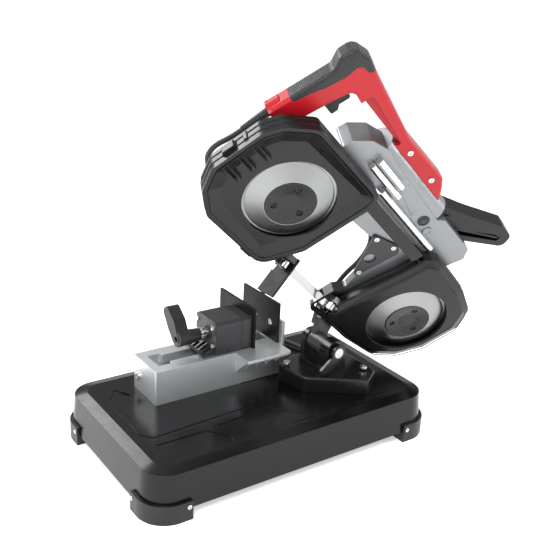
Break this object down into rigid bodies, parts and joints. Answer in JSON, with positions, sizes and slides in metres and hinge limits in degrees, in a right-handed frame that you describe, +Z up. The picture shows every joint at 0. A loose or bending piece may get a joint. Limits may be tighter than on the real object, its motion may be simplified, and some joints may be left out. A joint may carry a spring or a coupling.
{
  "type": "band saw",
  "caption": "Portable metal-cutting band saw on a pressed steel base: the head swings down over a vise on a hinge and mitre plate, with wheels, guards, motor, handle and cord.",
  "frame": {"origin": "on the floor, under the centre of the base", "axes": "+Z up, +X along the base from the vise's free end to the hinge, +Y from the front edge to the back edge"},
  "size_m": [0.6275, 0.4202, 0.6075],
  "materials": {
    "base_paint": "gloss black paint",
    "foot_plastic": "moulded, satin",
    "zinc": "zinc plated",
    "vise_grey": "grey cast aluminium, satin",
    "jaw_grey": "dark grey cast",
    "jaw_black": "black satin",
    "lever_plastic": "moulded, matt",
    "cast_black": "black cast, satin",
    "bright_steel": "machined",
    "arm_grey": "dark grey cast",
    "frame_silver": "cast, satin",
    "guard_plastic": "charcoal moulded",
    "blade_steel": "ground strip",
    "wheel_silver": "turned",
    "tyre_rubber": "moulded",
    "hub_dark": "moulded, satin",
    "channel_black": "gloss",
    "motor_dark": "glass-filled",
    "red_plastic": "glass-filled, satin",
    "grip_rubber": "moulded with ribs",
    "black_plastic": "moulded",
    "cord_rubber": "moulded",
    "copper": "wound and varnished"
  },
  "bodies": {
    "base": {"base_tray": "base_paint", "corner_feet": "foot_plastic", "foot_screws": "zinc", "vise_body": "vise_grey", "vise_rack": "jaw_grey", "fixed_jaw_plate": "jaw_black", "vise_screws": "zinc", "cord_coil": "cord_rubber", "plug": "black_plastic"},
    "carriage": {"jaw_block": "jaw_grey", "block_screws": "zinc"},
    "pad": {"jaw_slab": "jaw_grey", "moving_jaw_plate": "jaw_black"},
    "clamp": {"clamp_screw": "bright_steel", "clamp_lever": "lever_plastic"},
    "turntable": {"swivel_plate": "cast_black", "mitre_bolts": "zinc", "hinge_post": "cast_black", "hinge_pin": "zinc", "cord_lower": "cord_rubber"},
    "lock": {"lock_lever": "cast_black"},
    "head": {"hinge_arm": "arm_grey", "saw_frame": "frame_silver", "upper_guard": "guard_plastic", "lower_guard": "guard_plastic", "blade": "blade_steel", "idler_axle": "bright_steel", "upper_guide": "arm_grey", "lower_guide": "frame_silver", "shoe_plate": "jaw_black", "cover_plate": "jaw_grey", "blade_channel": "channel_black", "tension_tubes": "bright_steel", "gear_case": "frame_silver", "motor_housing": "frame_silver", "bearings": "bright_steel", "handle_shell": "red_plastic", "handle_grip": "grip_rubber", "switch_block": "black_plastic", "head_screws": "zinc", "aux_handle": "black_plastic", "strain_relief": "cord_rubber", "cord_upper": "cord_rubber"},
    "idler": {"idler_wheel": "wheel_silver", "idler_tyre": "tyre_rubber", "idler_hub_cap": "hub_dark", "idler_hub_screws": "zinc"},
    "drive": {"drive_wheel": "wheel_silver", "drive_tyre": "tyre_rubber", "drive_hub_cap": "hub_dark", "drive_hub_screws": "zinc", "drive_shaft": "bright_steel"},
    "idle": {"idle_gear": "bright_steel"},
    "lay": {"lay_shaft": "bright_steel"},
    "rotor": {"armature": "copper"},
    "upper_roller_1": {"upper_roller_front": "bright_steel"},
    "upper_roller_2": {"upper_roller_back": "bright_steel"},
    "lower_roller_1": {"lower_roller_front": "bright_steel"},
    "lower_roller_2": {"lower_roller_back": "bright_steel"},
    "trigger": {"trigger": "black_plastic"}
  },
  "joints": [
    {"name": "vise_slide", "type": "slide", "parent": "base", "child": "carriage", "axis": [1, 0, 0], "range_m": [-0.06, 0.02]},
    {"name": "clamp_turn", "type": "hinge", "parent": "pad", "child": "clamp", "pos_m": [-0.03, 0.056, 0.157], "axis": [1, 0, 0], "range_deg": [0, 90]},
    {"name": "pad_slide", "type": "slide", "parent": "carriage", "child": "pad", "axis": [1, 0, 0], "range_m": [0, 0.004]},
    {"name": "mitre_swivel", "type": "hinge", "parent": "base", "child": "turntable", "pos_m": [0.117, -0.02, 0.0751], "axis": [0, 0, 1], "range_deg": [0, 45], "deforming": ["cord_lower"]},
    {"name": "head_hinge", "type": "hinge", "parent": "turntable", "child": "head", "pos_m": [0.1165, -0.02, 0.134], "axis": [0, 1, 0], "range_deg": [-55, 0], "stiffness_Nm_per_rad": 14, "springref_deg": 28.65, "deforming": ["cord_upper"]},
    {"name": "lock_swing", "type": "hinge", "parent": "turntable", "child": "lock", "pos_m": [0.1165, -0.063, 0.134], "axis": [0, 1, 0], "range_deg": [0, 80]},
    {"name": "drive_spin", "type": "hinge", "parent": "head", "child": "drive", "pos_m": [0.24454, -0.068, 0.1755], "axis": [0.3729, 0.8339, 0.4069], "continuous": true},
    {"name": "idler_spin", "type": "hinge", "parent": "head", "child": "idler", "pos_m": [0.00124, -0.068, 0.39844], "axis": [0.3729, 0.8339, 0.4069], "continuous": true},
    {"name": "idle_gear_spin", "type": "hinge", "parent": "head", "child": "idle", "pos_m": [0.25598, -0.0757, 0.24962], "axis": [0.3729, 0.8339, 0.4069], "continuous": true},
    {"name": "lay_spin", "type": "hinge", "parent": "head", "child": "lay", "pos_m": [0.25661, -0.09523, 0.28904], "axis": [0.3729, 0.8339, 0.4069], "continuous": true},
    {"name": "rotor_spin", "type": "hinge", "parent": "head", "child": "rotor", "pos_m": [0.16283, -0.10611, 0.42677], "axis": [0.7373, 0, -0.6756], "continuous": true},
    {"name": "trigger_pull", "type": "slide", "parent": "head", "child": "trigger", "axis": [-0.7373, 0, 0.6756], "range_m": [0, 0.006], "stiffness_N_per_m": 900, "springref_m": -0.004},
    {"name": "upper_roller_front_spin", "type": "hinge", "parent": "head", "child": "upper_roller_1", "pos_m": [0.02741, -0.03088, 0.28491], "axis": [0.6756, 0, 0.7373], "continuous": true},
    {"name": "upper_roller_back_spin", "type": "hinge", "parent": "head", "child": "upper_roller_2", "pos_m": [0.02741, -0.01653, 0.28491], "axis": [0.6756, 0, 0.7373], "continuous": true},
    {"name": "lower_roller_front_spin", "type": "hinge", "parent": "head", "child": "lower_roller_1", "pos_m": [0.12031, -0.03088, 0.19979], "axis": [0.6756, 0, 0.7373], "continuous": true},
    {"name": "lower_roller_back_spin", "type": "hinge", "parent": "head", "child": "lower_roller_2", "pos_m": [0.12031, -0.01653, 0.19979], "axis": [0.6756, 0, 0.7373], "continuous": true}
  ],
  "couplings": [
    {"joint": "clamp_turn", "follows": "pad_slide", "rad_per_m": 392.7},
    {"joint": "idler_spin", "follows": "drive_spin", "ratio": 1},
    {"joint": "idle_gear_spin", "follows": "drive_spin", "ratio": -1.3333},
    {"joint": "lay_spin", "follows": "drive_spin", "ratio": 2.8571},
    {"joint": "rotor_spin", "follows": "drive_spin", "ratio": 20}
  ]
}
